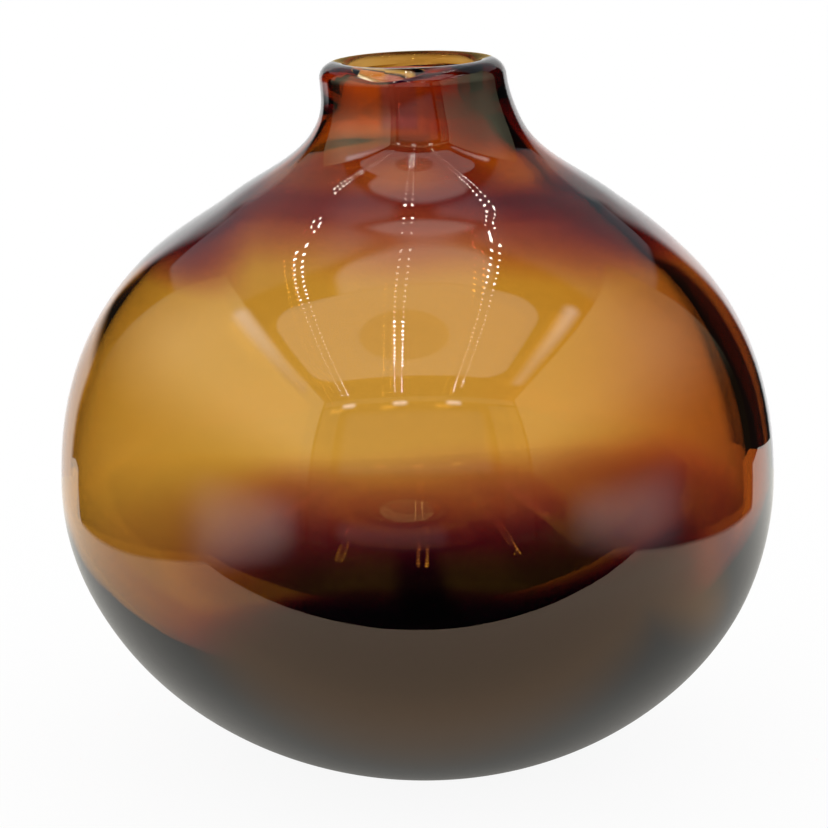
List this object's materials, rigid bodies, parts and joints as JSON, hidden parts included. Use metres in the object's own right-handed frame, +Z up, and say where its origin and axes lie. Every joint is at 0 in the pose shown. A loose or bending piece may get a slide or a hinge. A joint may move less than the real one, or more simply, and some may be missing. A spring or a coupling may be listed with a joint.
{
  "type": "glass bud vase",
  "caption": "Round thick-walled blown glass vase in amber and ruby, with a short neck, a rolled lip and a narrow opening for a few stems.",
  "frame": {"origin": "centre of the plane that the foot rests on", "axes": "+Z up along the vase's axis of revolution; X and Y are any two level directions, since the vase is round"},
  "size_m": [0.13, 0.13, 0.1277],
  "materials": {
    "casing_glass": "polished, pale smoky amber",
    "colour_glass": "polished, deep amber shading to ruby at the shoulder and towards the base"
  },
  "bodies": {
    "root": {"outer_casing": "casing_glass", "colour_layer": "colour_glass"}
  },
  "joints": []
}
